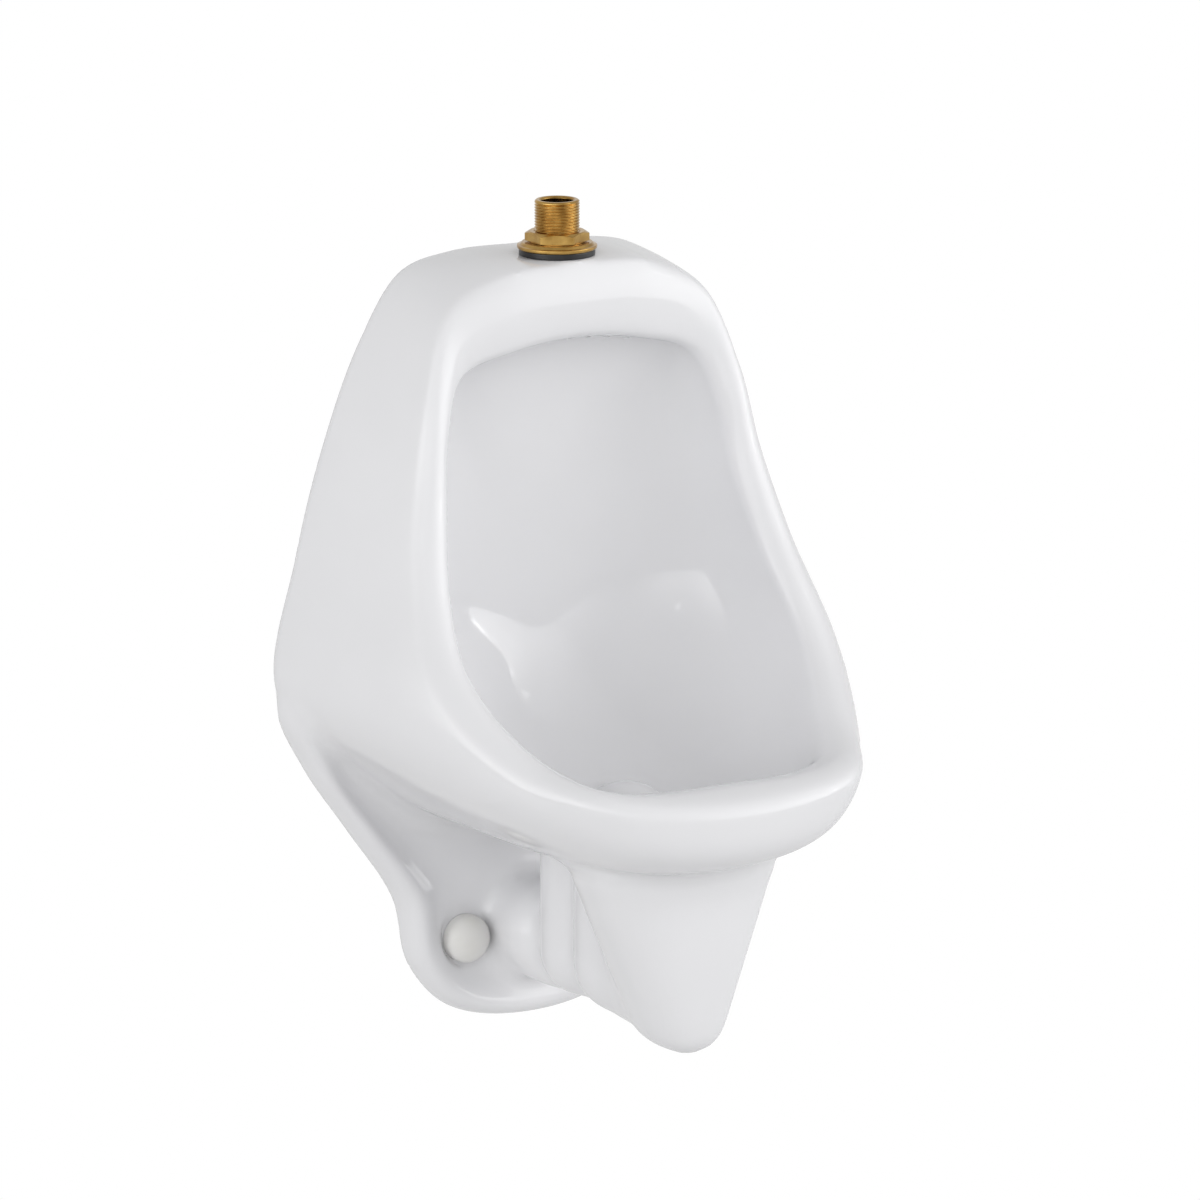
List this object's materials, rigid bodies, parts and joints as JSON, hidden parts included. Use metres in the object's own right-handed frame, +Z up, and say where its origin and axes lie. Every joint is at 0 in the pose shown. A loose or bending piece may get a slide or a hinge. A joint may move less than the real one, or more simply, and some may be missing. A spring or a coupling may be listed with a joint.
{
  "type": "wall-hung urinal",
  "caption": "Wall-hung china urinal with an elongated rim, top spud inlet, outside trap and wall outlet.",
  "frame": {"origin": "centre of the waste outlet on the wall plane", "axes": "+X to the right seen from the front, the front faces -Y, +Y into the wall, +Z up"},
  "size_m": [0.464, 0.3555, 0.6885],
  "materials": {
    "china": "glossy white glaze",
    "brass": "machined bright brass",
    "rubber": "moulded black rubber",
    "cast_iron": "rough cast, dull",
    "steel": "zinc plated",
    "stainless": "brushed",
    "cap_plastic": "glossy white"
  },
  "bodies": {
    "root": {"china_body": "china", "inlet_spud": "brass", "spud_locknut": "brass", "spud_friction_ring": "brass", "spud_washer": "rubber", "spud_gasket": "rubber", "waste_flange": "cast_iron", "waste_gasket": "rubber", "flange_bolts": "brass", "bolt_washers": "brass", "bolt_nuts": "brass", "cap_base_left": "cap_plastic", "cap_base_right": "cap_plastic", "hanger_left": "steel", "hanger_right": "steel", "strainer_grommet": "rubber"},
    "left_cap": {"bolt_cap_left": "cap_plastic"},
    "right_cap": {"bolt_cap_right": "cap_plastic"},
    "lift_out_strainer": {"strainer": "stainless"}
  },
  "joints": [
    {"name": "left_cap_pull", "type": "slide", "parent": "root", "child": "left_cap", "axis": [0, -1, 0], "range_m": [0, 0.03]},
    {"name": "right_cap_pull", "type": "slide", "parent": "root", "child": "right_cap", "axis": [0, -1, 0], "range_m": [0, 0.03]},
    {"name": "strainer_lift", "type": "slide", "parent": "root", "child": "lift_out_strainer", "axis": [0, 0, 1], "range_m": [0, 0.06]}
  ]
}
